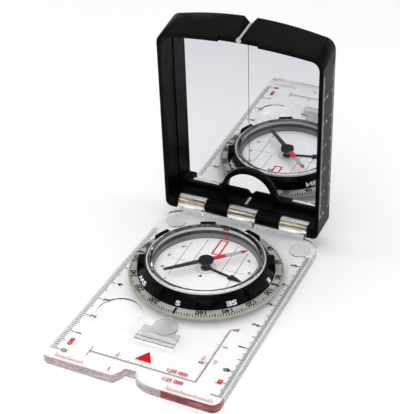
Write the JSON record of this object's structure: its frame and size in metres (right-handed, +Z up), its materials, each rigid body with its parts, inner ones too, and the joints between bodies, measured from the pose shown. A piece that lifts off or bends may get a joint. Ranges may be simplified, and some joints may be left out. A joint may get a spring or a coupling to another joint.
{
  "type": "sighting compass",
  "caption": "Hand-held mirror sighting compass: clear ruler plate, turning bezel round a sealed capsule with needle and slope hand, and a hinged black lid with a mirror and a sight window.",
  "frame": {"origin": "on the needle pivot axis, in the plane of the plate's underside", "axes": "+X across the plate to the right, +Y the direction of travel, towards the lid hinge, +Z up out of the dial"},
  "size_m": [0.065, 0.1081, 0.088],
  "materials": {
    "clear_plate": "clear polished acrylic",
    "clear_crystal": "clear polished acrylic",
    "black_plastic": "fine satin grain",
    "luminous_ring": "smooth pale grey-green luminous plastic",
    "luminous_yellow": "smooth yellow-green luminous",
    "grey_plastic": "ribbed grey plastic",
    "white_plastic": "smooth white printed plastic",
    "steel_pin": "drawn wire",
    "soft_foot": "translucent silicone",
    "seal_rubber": "translucent silicone",
    "brass": "turned",
    "needle_paint": "satin paint, red north end",
    "magnet_black": "lacquered",
    "jewel": "polished jewel",
    "mirror_glass": "silvered glass"
  },
  "bodies": {
    "base": {"baseplate": "clear_plate", "index_block": "clear_plate", "index_line": "luminous_yellow", "hinge_pin": "steel_pin", "foot_left": "soft_foot", "foot_right": "soft_foot"},
    "bezel": {"bezel_ring": "black_plastic", "azimuth_ring": "luminous_ring", "retaining_ring": "luminous_ring", "capsule_cover": "clear_crystal", "capsule_base": "clear_crystal", "capsule_seal": "seal_rubber", "scale_ring": "grey_plastic", "pivot_pin": "steel_pin"},
    "dial": {"dial_plate": "white_plastic", "declination_gear": "white_plastic"},
    "screw": {"declination_screw": "brass"},
    "needle_unit": {"needle": "needle_paint", "needle_lume": "luminous_yellow", "needle_magnet": "magnet_black", "needle_cap": "black_plastic", "needle_bearing": "jewel"},
    "clinometer": {"clinometer_hand": "needle_paint"},
    "lid": {"lid_shell": "black_plastic", "mirror": "mirror_glass", "upper_sight_line": "luminous_ring", "lower_sight_line": "luminous_yellow"}
  },
  "joints": [
    {"name": "lid_hinge", "type": "hinge", "parent": "base", "child": "lid", "pos_m": [0, 0.0355, 0.0079], "axis": [-1, 0, 0], "range_deg": [-88, 60]},
    {"name": "bezel_turn", "type": "hinge", "parent": "base", "child": "bezel", "pos_m": [0, 0, 0.0047], "axis": [0, 0, 1], "continuous": true},
    {"name": "dial_adjust", "type": "hinge", "parent": "bezel", "child": "dial", "pos_m": [0, 0, 0.005], "axis": [0, 0, 1], "range_deg": [-25, 25]},
    {"name": "screw_turn", "type": "hinge", "parent": "bezel", "child": "screw", "pos_m": [-0.00513, -0.0141, 0.003], "axis": [0, 0, 1], "range_deg": [-100, 100]},
    {"name": "needle_swing", "type": "hinge", "parent": "bezel", "child": "needle_unit", "pos_m": [0, 0, 0.0081], "axis": [0, 0, 1], "continuous": true},
    {"name": "clinometer_swing", "type": "hinge", "parent": "bezel", "child": "clinometer", "pos_m": [0, 0, 0.0059], "axis": [0, 0, 1], "continuous": true}
  ],
  "couplings": [
    {"joint": "screw_turn", "follows": "dial_adjust", "ratio": -4}
  ]
}
